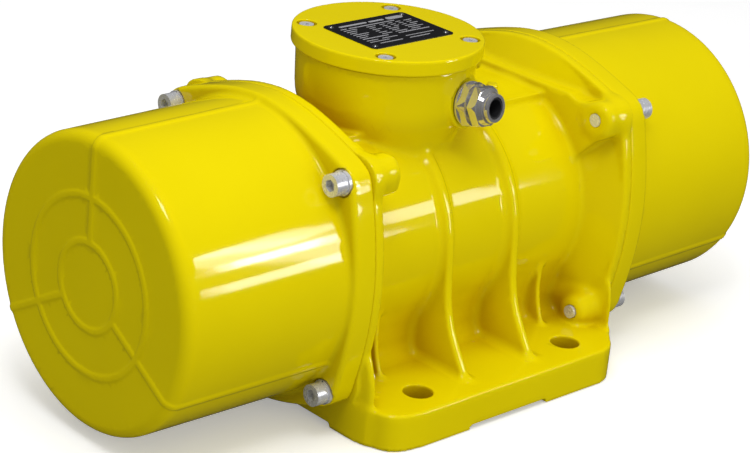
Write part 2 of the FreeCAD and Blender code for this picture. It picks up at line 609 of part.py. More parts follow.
def end_cover(s, label):
    face = "half_len - bead_up"
    shell = taper(s, "cover_root_r", "cover_r", "part_plane", face)
    shell = fillet(shell, VAL["cover_edge"], lambda e: e.BoundBox.XLength < 0.1 and s * e.BoundBox.XMin > 200)
    fa, fb = ends(s, "part_plane", "part_plane + cover_flange_t")
    rim = fillet(flange(fa, fb), VAL["rim_edge"], lambda e: e.BoundBox.XLength < 0.1 and s * e.BoundBox.XMin > VAL["part_plane"] + 5
                 and e.BoundBox.ZLength > 20)
    parts = [shell, rim]
    back = "half_len - bead_wire"
    for r in ("bead_r1", "bead_r2"):
        parts.append(torus(r, "bead_wire", "%d * (%s)" % (s, back), 0, "shaft_height", "x"))
    for k in range(3):
        t = math.radians(90 + 120 * k)
        out = Vector(0, math.cos(t), math.sin(t))
        parts.append(cyl("bead_wire", "cover_r - 9 - bead_r2", "%d * (%s)" % (s, back), "bead_r2 * %r" % math.cos(t),
                         "shaft_height + bead_r2 * %r" % math.sin(t), rot=Rotation(Vector(0, 0, 1), out)))
    solid = fuse(*parts)
    a, b = ends(s, "part_plane - 1", "half_len - bead_up - cover_wall")
    inside = taper(s, "cover_root_r - cover_wall", "cover_r - cover_wall", "part_plane - 1", "half_len - bead_up - cover_wall")
    tools = [inside]
    for sy in (-1, 1):
        for sz in (-1, 1):
            tools.append(tube(s, "bolt_r + 0.5", "part_plane - 1", "part_plane + cover_flange_t + 1",
                              "%d * lug_y" % sy, "shaft_height + %d * lug_dz" % sz))
            tools.append(tube(s, "washer_r + 1", "part_plane + cover_flange_t - spot_depth", "part_plane + cover_flange_t + 30",
                              "%d * lug_y" % sy, "shaft_height + %d * lug_dz" % sz))
    tools.append(cut(tube(s, "seal_mid_r + 1.6", "part_plane - 1", "part_plane + 2.2"),
                     tube(s, "seal_mid_r - 1.6", "part_plane - 2", "part_plane + 3")))
    return node(label, cut(solid, fuse(*tools)))


for s, side in ((-1, "left"), (1, "right")):
    end_cover(s, "end_cover_" + side)
for s, side in ((-1, "left"), (1, "right")):
    node("cover_seal_" + side, cut(tube(s, "seal_mid_r + 1.5", "part_plane", "part_plane + 2.2"),
                                   tube(s, "seal_mid_r - 1.5", "part_plane - 1", "part_plane + 3")))

LUGS = [(s, sy, sz) for s in (-1, 1) for sy in (-1, 1) for sz in (-1, 1)]
screws, washers = [], []
for s, sy, sz in LUGS:
    at = ("%d * lug_y" % sy, "shaft_height + %d * lug_dz" % sz)
    spot = "part_plane + cover_flange_t - spot_depth"
    seat = spot + " + washer_t"
    head = tube(s, "bolt_head_r", seat, seat + " + bolt_head_l", *at)
    shank = tube(s, "bolt_r", "bolt_tip", seat + " + 1", *at)
    h0, h1 = ends(s, seat + " + bolt_head_l - 5", seat + " + bolt_head_l + 1")
    sock = prism("bolt_hex", "(%s) - (%s)" % (h1, h0), h0, at[0], at[1], "x")
    screws.append(cut(fuse(head, shank), sock))
    w = cut(tube(s, "washer_r", spot, seat, *at),
            tube(s, "bolt_r + 0.3", "part_plane", seat + " + 5", *at))
    g0, g1 = ends(s, spot + " - 1", seat + " + 1")
    w = cut(w, box(g0, g1, "(%s) - 0.6" % at[0], "(%s) + 0.6" % at[0], at[1], "%s + 20" % at[1]))
    washers.append(w)
node("cover_screws", group(*screws))
node("cover_spring_washers", group(*washers))

# ---------------------------------------------------------------- bearing flanges, caps and bearings
bscrews, cscrews = [], []
for s, side in ((-1, "left"), (1, "right")):
    solid = fuse(tube(s, "bflange_r", "part_plane - seat_depth", "part_plane"),
                 tube(s, "stator_seat_r - fit_gap", "part_plane - seat_depth - 9", "part_plane - seat_depth"),
                 tube(s, "bflange_hub_r", 92, "bflange_out"))
    tools = [tube(s, "brg_out_r + fit_gap", "brg_in", "bflange_out + 1"), tube(s, 40, 90, "brg_in + 1")]
    for k in range(6):
        t = math.radians(60 * k)
        at = (84.5 * math.cos(t), "shaft_height + %r" % (84.5 * math.sin(t)))
        tools.append(tube(s, 3.3, "part_plane - 20", "part_plane + 1", *at))
        tools.append(tube(s, 5.5, "part_plane - 5", "part_plane + 1", *at))
        head = tube(s, 5, "part_plane - 5", "part_plane - 0.5", *at)
        shank = tube(s, 3, "part_plane - seat_depth - 9", "part_plane - 4", *at)
        bscrews.append(fuse(head, shank))
    for k in range(4):
        t = math.radians(45 + 90 * k)
        at = (56 * math.cos(t), "shaft_height + %r" % (56 * math.sin(t)))
        tools.append(tube(s, "2.5 + fit_gap", "bflange_out - 12", "bflange_out + 1", *at))
        head = tube(s, 4.2, "bflange_out + 5", "bflange_out + 9", *at)
        shank = tube(s, 2.5, "bflange_out - 10", "bflange_out + 6", *at)
        cscrews.append(fuse(head, shank))
    node("bearing_flange_" + side, cut(solid, fuse(*tools)))
    cap = cut(fuse(tube(s, 62, "bflange_out", "bflange_out + 5"), tube(s, "brg_out_r - 0.1", "brg_in + brg_wid", "bflange_out")),
              fuse(tube(s, 28.5, "brg_in", "bflange_out + 10"), tube(s, 44, "brg_in", "bflange_out + 0.01"),
                   *[tube(s, 2.8, "bflange_out - 1", "bflange_out + 8", 56 * math.cos(math.radians(45 + 90 * k)),
                          "shaft_height + %r" % (56 * math.sin(math.radians(45 + 90 * k)))) for k in range(4)]))
    node("bearing_cap_" + side, cap)
    node("bearing_outer_ring_" + side, cut(tube(s, "brg_out_r", "brg_in", "brg_in + brg_wid"),
                                           tube(s, "brg_race_out", "brg_in - 1", "brg_in + brg_wid + 1")))
    node("bearing_inner_ring_" + side, cut(tube(s, "brg_race_in", "brg_in", "brg_in + brg_wid"),
                                           tube(s, "shaft_brg_r + fit_gap", "brg_in - 1", "brg_in + brg_wid + 1")))
    rollers, pockets = [], []
    for k in range(12):
        t = math.radians(30 * k)
        at = ("roller_pitch_r * %r" % math.cos(t), "shaft_height + roller_pitch_r * %r" % math.sin(t))
        mid = "brg_in + brg_wid / 2"
        rollers.append(tube(s, "roller_r", mid + " - roller_len / 2", mid + " + roller_len / 2", *at))
        pockets.append(tube(s, "roller_r + 0.3", mid + " - roller_len / 2 - 0.3", mid + " + roller_len / 2 + 0.3", *at))
    node("bearing_rollers_" + side, group(*rollers))
    cage = cut(tube(s, 38.6, "brg_in + 2", "brg_in + brg_wid - 2"), tube(s, 33.4, "brg_in", "brg_in + brg_wid"))
    node("bearing_cage_" + side, cut(cage, fuse(*pockets)))
node("bearing_flange_screws", group(*bscrews))
node("bearing_cap_screws", group(*cscrews))

# ---------------------------------------------------------------- stator
node("stator_core", cut(cylx("stator_seat_r - fit_gap", "-core_half", "core_half"), cylx("stator_in_r", "-core_half - 1", "core_half + 1")))
winds = []
for s in (-1, 1):
    w = cut(tube(s, "winding_out_r", "core_half", "winding_half"), tube(s, "winding_in_r", "core_half - 1", "winding_half + 1"))
    winds.append(fillet(w, 6.0, lambda e, s=s: e.BoundBox.XLength < 0.1 and s * e.BoundBox.XMin > 70))
node("stator_winding_ends", group(*winds))

# ---------------------------------------------------------------- rotor, a turned shaft as a PartDesign revolution
import Sketcher

shaft = doc.addObject("PartDesign::Body", "ShaftBody")
put(shaft, 0, 0, "shaft_height")
sk = shaft.newObject("Sketcher::SketchObject", "ShaftProfile")
sk.AttachmentSupport = [(plane(shaft, "XZ_Plane"), "")]
sk.MapMode = "FlatFace"
steps = [("shaft_half", "shaft_end_r"), ("brg_in + brg_wid", "shaft_brg_r"), ("brg_in", "shaft_mid_r")]
pts = [(-num("shaft_half"), 0.0)]
for hx, r in steps:
    pts += [(-num(hx), num(r))] if not pts[1:] else [(-num(hx), pts[-1][1]), (-num(hx), num(r))]
for hx, r in reversed(steps):
    i = steps.index((hx, r))
    nxt = num(steps[i - 1][1]) if i > 0 else 0.0
    pts += [(num(hx), num(r)), (num(hx), nxt)]
for i in range(len(pts)):
    a, b = pts[i], pts[(i + 1) % len(pts)]
    sk.addGeometry(Part.LineSegment(Vector(a[0], a[1], 0), Vector(b[0], b[1], 0)), False)
for i in range(len(pts)):
    sk.addConstraint(Sketcher.Constraint("Coincident", i, 2, (i + 1) % len(pts), 1))
bound = {0: ("-shaft_half", "0"), 1: ("-shaft_half", "shaft_end_r"), 2: ("-(brg_in + brg_wid)", "shaft_end_r"),
         3: ("-(brg_in + brg_wid)", "shaft_brg_r"), 4: ("-brg_in", "shaft_brg_r"), 5: ("-brg_in", "shaft_mid_r"),
         6: ("brg_in", "shaft_mid_r"), 7: ("brg_in", "shaft_brg_r"), 8: ("brg_in + brg_wid", "shaft_brg_r"),
         9: ("brg_in + brg_wid", "shaft_end_r"), 10: ("shaft_half", "shaft_end_r"), 11: ("shaft_half", "0")}
for i, (hx, r) in bound.items():
    n = sk.addConstraint(Sketcher.Constraint("DistanceX", -1, 1, i, 1, pts[i][0]))
    sk.setExpression("Constraints[%d]" % n, ex(hx))
    n = sk.addConstraint(Sketcher.Constraint("DistanceY", -1, 1, i, 1, pts[i][1]))
    if r != "0":
        sk.setExpression("Constraints[%d]" % n, ex(r))
rev = shaft.newObject("PartDesign::Revolution", "ShaftTurning")
rev.Profile = sk
rev.ReferenceAxis = (sk, ["H_Axis"])
rev.Angle = 360
shaft.Tip = rev
doc.recompute()
KEY_W, KEY_H = 12.0, 8.0
for s in (-1, 1):
    ks = shaft.newObject("Sketcher::SketchObject", "KeySeat_%s" % ("a" if s < 0 else "b"))
    ks.AttachmentSupport = [(plane(shaft, "XY_Plane"), "")]
    ks.MapMode = "FlatFace"
    ks.setExpression("AttachmentOffset.Base.z", ex("shaft_end_r + 1"))
    x0, x1 = sorted((s * (VAL["weight_in"] + 3), s * (VAL["weight_in"] + VAL["weight_t"] - 3)))
    corners = [(x0, -KEY_W / 2), (x1, -KEY_W / 2), (x1, KEY_W / 2), (x0, KEY_W / 2)]
    for i in range(4):
        a, b = corners[i], corners[(i + 1) % 4]
        ks.addGeometry(Part.LineSegment(Vector(a[0], a[1], 0), Vector(b[0], b[1], 0)), False)
    for i in range(4):
        ks.addConstraint(Sketcher.Constraint("Coincident", i, 2, (i + 1) % 4, 1))
    kp = shaft.newObject("PartDesign::Pocket", "KeyPocket_%s" % ("a" if s < 0 else "b"))
    kp.Profile = ks
    kp.Length = 1 + KEY_H / 2
    shaft.Tip = kp
    doc.recompute()
node("rotor_shaft", shaft)

node("rotor_core", cut(cylx("rotor_r", "-core_half", "core_half"), cylx("shaft_mid_r + fit_gap", "-core_half - 1", "core_half + 1")))
node("rotor_end_rings", group(*[cut(tube(s, 43, "core_half", "core_half + 12"), tube(s, 30, "core_half - 1", "core_half + 14"))
                                for s in (-1, 1)]))
node("spacer_sleeves", group(*[cut(tube(s, 27, "brg_in + brg_wid", "weight_in"),
                                   tube(s, "shaft_end_r + fit_gap", "brg_in", "weight_in + 1")) for s in (-1, 1)]))


def weight(s, a, gap, split):
    """A half-round weight hanging under the shaft: a is its inner face."""
    b = "(%s) + weight_t" % a
    half = common(tube(s, "weight_r", a, b), box(-400, 400, -100, 100, "shaft_height - 100", "shaft_height - 12"))
    solid = fuse(half, tube(s, "weight_hub_r", a, b),
                 box(*ends(s, a, b), -34, 34, "shaft_height - 20", "shaft_height"))
    bore = tube(s, "shaft_end_r + %s" % gap, "(%s) - 1" % a, "%s + 1" % b)
    if not split:
        k0, k1 = ends(s, "(%s) - 1" % a, b + " + 1")
        slot = box(k0, k1, -KEY_W / 2 - 0.02, KEY_W / 2 + 0.02, "shaft_height", "shaft_height + shaft_end_r + %r" % (KEY_H / 2 + 0.3))
        return cut(solid, fuse(bore, slot))
    # split hub with a clamp screw across the slot
    k0, k1 = ends(s, "(%s) - 1" % a, b + " + 1")
    slot = box(k0, k1, -1.5, 1.5, "shaft_height", "shaft_height + 60")
    mid = "%d * ((%s) + weight_t / 2)" % (s, a)
    hole = cyl(6.02, 80, mid, -40, "shaft_height + 28", "y")
    flat1 = cyl(10, 30, mid, 19, "shaft_height + 28", "y")
    ear = box(*ends(s, "(%s) + 8" % a, "(%s) + weight_t - 8" % a), -19, 19, "shaft_height + 15", "shaft_height + 40")
    return cut(fuse(solid, ear), fuse(bore, slot, hole, flat1))


for s, side in ((-1, "left"), (1, "right")):
    node("fixed_weight_" + side, weight(s, "weight_in", "fit_gap", False))
for s, side in ((-1, "left"), (1, "right")):
    node("adjustable_weight_" + side, weight(s, "weight_in + weight_t + weight_gap", "run_gap", True))
for s, side in ((-1, "left"), (1, "right")):
    mid = "%d * (weight_in + weight_t + weight_gap + weight_t / 2)" % s
    head = cyl(9, 11, mid, 19, "shaft_height + 28", "y")
    shank = cyl(6, 36, mid, -16.5, "shaft_height + 28", "y")
    sock = prism(10, 7, mid, 24, "shaft_height + 28", "y")
    node("clamp_screw_" + side, cut(fuse(head, shank), sock))
keys = []
for s in (-1, 1):
    k0, k1 = ends(s, "weight_in + 3.05", "weight_in + weight_t - 3.05")
    keys.append(box(k0, k1, -KEY_W / 2 + 0.02, KEY_W / 2 - 0.02, "shaft_height + shaft_end_r - %r" % (KEY_H / 2), "shaft_height + shaft_end_r + %r" % (KEY_H / 2)))
node("weight_keys", group(*keys))
wend = "weight_in + weight_t + weight_gap + weight_t"
for s, side in ((-1, "left"), (1, "right")):
    node("scale_disc_" + side, cut(tube(s, 60, "weight_in + weight_t", "weight_in + weight_t + weight_gap - 0.4"),
                                   tube(s, "shaft_end_r + fit_gap", "weight_in", wend)))
node("end_washers", group(*[cut(tube(s, 29, wend + " + 0.4", wend + " + 5.4"), tube(s, "shaft_end_r + fit_gap", wend, wend + " + 8"))
                            for s in (-1, 1)]))
lock = []
for s in (-1, 1):
    nut = cut(tube(s, 29, wend + " + 5.4", wend + " + 16"), tube(s, "shaft_end_r + fit_gap", wend, wend + " + 20"))
    slots = [box(*ends(s, wend + " + 5", wend + " + 17"), 25.5, 32, "shaft_height - 3", "shaft_height + 3"),
             box(*ends(s, wend + " + 5", wend + " + 17"), -32, -25.5, "shaft_height - 3", "shaft_height + 3"),
             box(*ends(s, wend + " + 5", wend + " + 17"), -3, 3, "shaft_height + 25.5", "shaft_height + 32"),
             box(*ends(s, wend + " + 5", wend + " + 17"), -3, 3, "shaft_height - 32", "shaft_height - 25.5")]
    lock.append(cut(nut, fuse(*slots)))
node("shaft_lock_nuts", group(*lock))

# ---------------------------------------------------------------- check and write
doc.recompute()
bad = []
for o in doc.Objects:
    if "Invalid" in o.State or "Error" in o.State:
        bad.append("%s %s %s" % (o.Name, o.TypeId, o.State))
for label, o in NODES:
    if o.Shape.isNull() or not o.Shape.isValid() or not o.Shape.Solids:
        bad.append("shape of " + label)
if bad:
    raise SystemExit("\n".join(["not written:"] + bad))
os.makedirs("parts", exist_ok=True)
for old in os.listdir("parts"):
    if old.endswith(".step"):
        os.remove(os.path.join("parts", old))
for label, o in NODES:
    o.Shape.exportStep("parts/%s.step" % label)
    b = o.Shape.BoundBox
    print("%-26s solids %2d  volume %10.1f  x %7.1f..%6.1f  y %7.1f..%6.1f  z %6.1f..%6.1f" % (
        label, len(o.Shape.Solids), o.Shape.Volume, b.XMin, b.XMax, b.YMin, b.YMax, b.ZMin, b.ZMax))
print(len(NODES), "nodes")
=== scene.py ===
import bpy, bmesh, json, math, random
import numpy as np
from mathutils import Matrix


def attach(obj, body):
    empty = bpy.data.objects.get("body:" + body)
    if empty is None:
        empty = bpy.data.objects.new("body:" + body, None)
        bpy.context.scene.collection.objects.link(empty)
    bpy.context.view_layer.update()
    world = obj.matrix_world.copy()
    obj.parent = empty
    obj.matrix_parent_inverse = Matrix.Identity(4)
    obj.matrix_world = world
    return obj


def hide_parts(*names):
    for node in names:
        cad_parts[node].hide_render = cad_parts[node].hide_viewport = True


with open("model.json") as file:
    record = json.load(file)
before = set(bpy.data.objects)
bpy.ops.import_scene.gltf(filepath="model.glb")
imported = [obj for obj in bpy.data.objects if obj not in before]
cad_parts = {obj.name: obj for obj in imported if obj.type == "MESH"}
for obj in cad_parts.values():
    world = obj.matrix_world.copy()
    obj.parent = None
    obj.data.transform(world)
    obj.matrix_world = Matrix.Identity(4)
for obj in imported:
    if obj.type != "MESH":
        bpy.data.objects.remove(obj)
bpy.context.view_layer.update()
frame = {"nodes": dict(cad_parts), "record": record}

import openvdb
from mathutils import Matrix, Vector


bpy.context.scene.view_settings.view_transform = "Standard"
bpy.context.scene.view_settings.look = "None"
F32 = np.float32
H = 116.4                      # shaft height, mm
MM = 0.001

# ------------------------------------------------------------------ distance fields, in mm


def rmin(a, b, r):
    """Union with a concave fillet of radius r."""
    if r <= 0:
        return np.minimum(a, b)
    u = np.maximum(r - a, 0)
    v = np.maximum(r - b, 0)
    return np.maximum(r, np.minimum(a, b)) - np.sqrt(u * u + v * v)


def rmax(a, b, r):
    """Intersection with a rounded edge of radius r."""
    if r <= 0:
        return np.maximum(a, b)
    u = np.maximum(r + a, 0)
    v = np.maximum(r + b, 0)
    return np.minimum(-r, np.maximum(a, b)) + np.sqrt(u * u + v * v)


def poly2(u, v, pts):
    """Signed distance to a closed polygon in a plane."""
    shape = np.broadcast_shapes(u.shape, v.shape)
    best = np.full(shape, 1e12, F32)
    inside = np.zeros(shape, bool)
    n = len(pts)
    for i in range(n):
        ax, ay = pts[i]
        bx, by = pts[(i + 1) % n]
        ex, ey = bx - ax, by - ay
        px, py = u - F32(ax), v - F32(ay)
        t = np.clip((px * F32(ex) + py * F32(ey)) / F32(ex * ex + ey * ey), 0, 1)
        dx, dy = px - t * F32(ex), py - t * F32(ey)
        best = np.minimum(best, dx * dx + dy * dy)
        if ay != by:
            cross = ((ay > v) != (by > v)) & (u < F32(ex) * (v - F32(ay)) / F32(ey) + F32(ax))
            inside ^= cross
    d = np.sqrt(best)
    return np.where(inside, -d, d).astype(F32)


def rect2(u, v, hu, hv, r):
    """Rounded rectangle."""
    qu, qv = np.abs(u) - (hu - r), np.abs(v) - (hv - r)
    return np.sqrt(np.maximum(qu, 0) ** 2 + np.maximum(qv, 0) ** 2) + np.minimum(np.maximum(qu, qv), 0) - r


def spline(pts, per=8, closed=False):
    """Catmull-Rom points through pts."""
    out = []
    n = len(pts)
    segs = n if closed else n - 1
    for i in range(segs):
        p0 = pts[(i - 1) % n] if closed or i > 0 else (2 * pts[0][0] - pts[1][0], 2 * pts[0][1] - pts[1][1])
        p1, p2 = pts[i % n], pts[(i + 1) % n]
        p3 = pts[(i + 2) % n] if closed or i + 2 < n else (2 * pts[-1][0] - pts[-2][0], 2 * pts[-1][1] - pts[-2][1])
        for k in range(per):
            t = k / per
            out.append(tuple(0.5 * (2 * p1[j] + (p2[j] - p0[j]) * t + (2 * p0[j] - 5 * p1[j] + 4 * p2[j] - p3[j]) * t * t
                                    + (3 * p1[j] - p0[j] - 3 * p2[j] + p3[j]) * t ** 3) for j in (0, 1)))
    if not closed:
        out.append(tuple(pts[-1]))
    return out


def sample(d, q):
    """Trilinear value of the grid d at q, in grid units."""
    n = np.array(d.shape)
    q = np.clip(q, 0, n - 1.001)
    i = q.astype(np.int32)
    f = (q - i).astype(F32)
    out = np.zeros(len(q), F32)
    for a in (0, 1):
        wa = f[:, 0] if a else 1 - f[:, 0]
        for b in (0, 1):
            wb = f[:, 1] if b else 1 - f[:, 1]
            for c in (0, 1):
                wc = f[:, 2] if c else 1 - f[:, 2]
                out += wa * wb * wc * d[i[:, 0] + a, i[:, 1] + b, i[:, 2] + c]
    return out


def skin(field, lo, hi, step, adaptivity):
    """The zero surface of field over a box: points in mm, faces and normals."""
    lo = np.array(lo, float)
    n = [int(math.ceil((hi[k] - lo[k]) / step)) + 1 for k in range(3)]
    x = (lo[0] + step * np.arange(n[0])).astype(F32)[:, None, None]
    y = (lo[1] + step * np.arange(n[1])).astype(F32)[None, :, None]
    z = (lo[2] + step * np.arange(n[2])).astype(F32)[None, None, :]
    d = np.ascontiguousarray(np.broadcast_to(field(x, y, z), tuple(n))).astype(F32)
    band = 3.0 * step
    grid = openvdb.FloatGrid(band)
    grid.copyFromArray(np.clip(d, -band, band), tolerance=0.0)
    pts, tris, quads = grid.convertToPolygons(isovalue=0.0, adaptivity=adaptivity)
    pts = np.asarray(pts, float)
    nrm = np.zeros((len(pts), 3), F32)
    for k in range(3):
        e = np.zeros(3)
        e[k] = 0.6
        nrm[:, k] = sample(d, pts + e) - sample(d, pts - e)
    nrm /= np.maximum(np.linalg.norm(nrm, axis=1), 1e-9)[:, None]
    return lo + pts * step, np.asarray(tris), np.asarray(quads), nrm


def solid_mesh(name, pts, tris, quads, nrm, flip=False):
    """A Blender mesh from arrays, pts in mm, with its own smooth normals."""
    me = bpy.data.meshes.new(name)
    faces_v = np.concatenate([tris.reshape(-1), quads.reshape(-1)]).astype(np.int32)
    counts = np.concatenate([np.full(len(tris), 3), np.full(len(quads), 4)]).astype(np.int32)
    starts = np.concatenate([[0], np.cumsum(counts)[:-1]]).astype(np.int32)
    me.vertices.add(len(pts))
    me.vertices.foreach_set("co", (pts * MM).astype(F32).ravel())
    me.loops.add(len(faces_v))
    me.loops.foreach_set("vertex_index", faces_v)
    me.polygons.add(len(counts))
    me.polygons.foreach_set("loop_start", starts)
    me.update(calc_edges=True)
    me.validate()
    bm = bmesh.new()
    bm.from_mesh(me)
    if bm.calc_volume(signed=True) < 0:
        bmesh.ops.reverse_faces(bm, faces=bm.faces[:])
    bm.to_mesh(me)
    bm.free()
    me.polygons.foreach_set("use_smooth", np.ones(len(me.polygons), bool))
    me.update()
    me.normals_split_custom_set_from_vertices(nrm.tolist())
    ob = bpy.data.objects.new(name, me)
    bpy.context.scene.collection.objects.link(ob)
    return ob


# ------------------------------------------------------------------ outlines, y and z-above-shaft
RIM = [(0, 113.2), (13, 113.6), (24, 115.6), (33, 119.2), (40, 123.8), (45, 127.8), (48.8, 129.6),
       (52.5, 127.9), (57, 124.0), (63, 120.2), (71, 116.6), (80, 114.3)]


def rim_outline():
    out = []
    for turn in range(4):
        q = RIM + [(90, 113.5)] if turn % 2 == 0 else [(90 - a, r) for a, r in reversed(RIM + [(90, 113.5)])]
        for a, r in q[:-1]:
            r -= {180: 1.3, 167: 0.6, 193: 0.6}.get(a + 90 * turn, 0)
            t = math.radians(a + 90 * turn)
            out.append((r * math.sin(t), r * math.cos(t)))
    return spline(out, 4, True)


RIM_PTS = rim_outline()
GUSSET = spline([(89.6, 0), (91.1, -19.3), (92.0, -27), (93.2, -36), (95.6, -46), (99.2, -56.1), (103.2, -63.5),
                 (108.0, -71.0), (113.0, -79.0), (117.0, -85.5), (119.8, -89.2)], 4)
BAND = [(math.sin(math.radians(a)) * (86.6 + 3.0 * (a / 90.0) ** 3), math.cos(math.radians(a)) * (86.6 + 3.0 * (a / 90.0) ** 3)) for a in range(0, 90, 5)]
GUSSET_PTS = [(-1, 86.6)] + BAND + GUSSET + [(121.5, -92), (121.5, -100), (-1, -100)]
SMALL_PTS = spline([(82.5, -89.2), (78.8, -81), (76.3, -73.5), (74.6, -66), (73.6, -58), (73.6, -50.2), (72.5, -40)], 4) + [(-1, -40), (-1, -100), (82.5, -100)]
WING_PTS = [(-1, -46), (100, -46)] + spline([(107.6, -48.5), (110.8, -53), (112.8, -58.5), (115, -66), (116.3, -73), (116.7, -80), (116.8, -90)], 3) + [(116.8, -125), (-1, -125)]
BASE_LEFT = spline([(-132, 80), (-130.8, 90), (-129.7, 106), (-126.7, 119.5), (-121.6, 130.5), (-111.7, 136.8), (-96, 139.2)], 4)
BASE_RIGHT = spline([(94, 139.2), (102.4, 136.6), (109.5, 131.6), (114.6, 126), (119.4, 121.2), (126, 112.5), (130.5, 99), (132, 84)], 4)
BASE_PTS = [(-132, -1)] + BASE_LEFT + BASE_RIGHT + [(132, -1)]
BOX_X = -31.0
PLATE_TOP = 259.4
GT, GK = math.radians(6.0), math.radians(8.0)
GD = np.array([math.sin(GT) * math.cos(GK), -math.cos(GT) * math.cos(GK), math.sin(GK)])
GP = np.array([-8.6, -64.0, 219.9])


def along(X, Y, Z, p, d):
    """Distance along and away from the axis through p in direction d."""
    dx, dy, dz = X - F32(p[0]), Y - F32(p[1]), Z - F32(p[2])
    t = dx * F32(d[0]) + dy * F32(d[1]) + dz * F32(d[2])
    r = np.sqrt(np.maximum(dx * dx + dy * dy + dz * dz - t * t, 0))
    return t, r


def housing_field(X, Y, Z):
    aX, aY, Zs = np.abs(X), np.abs(Y), Z - F32(H)
    R = np.sqrt(Y * Y + Zs * Zs)
    # barrel on a pedestal
    core = rmin(R - 83.6, rect2(Y, Zs + 60, 62, 50, 3), 9)
    core = np.maximum(core, aX - 117)
    # base slab
    plan = poly2(X, aY, BASE_PTS)
    slab = rmax(plan, np.abs(Z - 11.6) - 16.6, 2.2)
    core = rmin(core, slab, 13)
    # small upright ribs, then the gussets with their bands
    small = rmax(poly2(aY, Zs, SMALL_PTS), np.abs(aX - 85) - 2.2, 1.8)
    core = rmin(core, small, 4.5)
    gus = rmax(poly2(aY, Zs, GUSSET_PTS), np.abs(aX - 33.9) - 3.6, 2.6)
    core = rmin(core, gus, 5.5)
    # deck
    deck = rmax(rect2(Y, Zs - 60, 32.8, 23.0, 0.5), aX - 125, 0)
    core = rmin(core, rmax(deck, Z - 199.4, 1.2), 3.0)
    # end flange with its sloped inner face, shoulders and screw bosses
    rim = poly2(Y, Zs, RIM_PTS)
    wing = rmax(rmax(poly2(aY, Zs, WING_PTS), plan, 3.0), 123.5 - aX, 2.4)
    slope = (123.5 - np.clip(112.0 - R, 0, 24) * 0.445 - aX)
    fl = rmax(rim, slope * 0.93, 2.4)
    shoulder = poly2(aY, Zs, [(-1, 89.8), (58, 89.8), (66, 87), (94, 86), (99, 70), (86, 58), (70, 40), (-1, 40)])
    sh = rmax(shoulder, 107.5 - aX, 2.2)
    fl = rmin(fl, sh, 3.0)
    up = np.sqrt((aY - 90) ** 2 + (Zs - 78.7) ** 2) - 13.6
    fl = rmin(fl, rmax(up, 106.0 - aX, 4.5), 7.0)
    dn = np.sqrt((aY - 90) ** 2 + (Zs + 78.7) ** 2) - 11.6
    fl = rmin(fl, rmax(dn, 107.0 - aX, 6.5), 12.0)
    fl = rmin(fl, wing, 2.5)
    web = rmax(np.maximum(aY - 90, Zs + 72), 114.5 - aX, 4.0)
    fl = rmin(fl, web, 14.0)
    core = rmin(core, fl, 5.0)
    core = rmax(core, aX - 131.85, 0.7)
    # terminal box
    Rb = np.sqrt((X - F32(BOX_X)) ** 2 + Y * Y)
    cone = (Rb - 64.6 + (206.0 - Z) * 0.706) * 0.817
    tb = rmax(rmax(Rb - 66.5 + (246.7 - Z) * 0.052, cone, 5.0), Z - 246.7, 0.8)
    tb = rmin(tb, np.maximum(Rb - 53, Z - 203.2), 7.0)
    tb = np.maximum(tb, 153 - Z)
    t, r = along(X, Y, Z, GP, GD)
    tb = rmin(tb, rmax(np.maximum(r - 19, -14 - t), t, 1.2), 3.0)
    core = rmin(core, tb, 5.0)
    # earth boss on the deck
    peg = np.sqrt((X - 62) ** 2 + (Y + 22) ** 2) - 4.5
    core = rmin(core, rmax(np.maximum(peg, 188 - Z), Z - 210.2, 1.0), 3.0)
    # openings
    core = np.maximum(core, 74.6 - R)
    core = np.maximum(core, -np.maximum(R - 93, 124 - aX))
    core = rmax(core, -np.maximum(Rb - 58, 206.2 - Z), 0.5)
    core = np.maximum(core, -np.maximum(np.sqrt((X - F32(BOX_X - 36)) ** 2 + Y * Y) - 9, np.abs(Z - 198.2) - 15))
    core = np.maximum(core, -np.maximum(r - 12.55, np.abs(t + 9) - 11))
    core = rmax(core, -np.maximum(r - 18.2, np.abs(t - 3.5) - 3.5), 0.6)
    for z in (78.7, -78.7):
        core = rmax(core, -np.maximum(np.sqrt((aY - 90) ** 2 + (Zs - z) ** 2) - 5.05, 100 - aX), 0.5)
    core = rmax(core, 11 - np.sqrt((aX - 77.5) ** 2 + (aY - 112.5) ** 2), 0.6)
    core = rmax(core, -rmax(np.abs(X + 6.5) - 39.5, Z - 3.5, 2.0), 0.8)
    core = rmax(core, -rmax(aY - 80, Z - 3.5, 2.0), 0.8)
    return np.maximum(core, -Z)


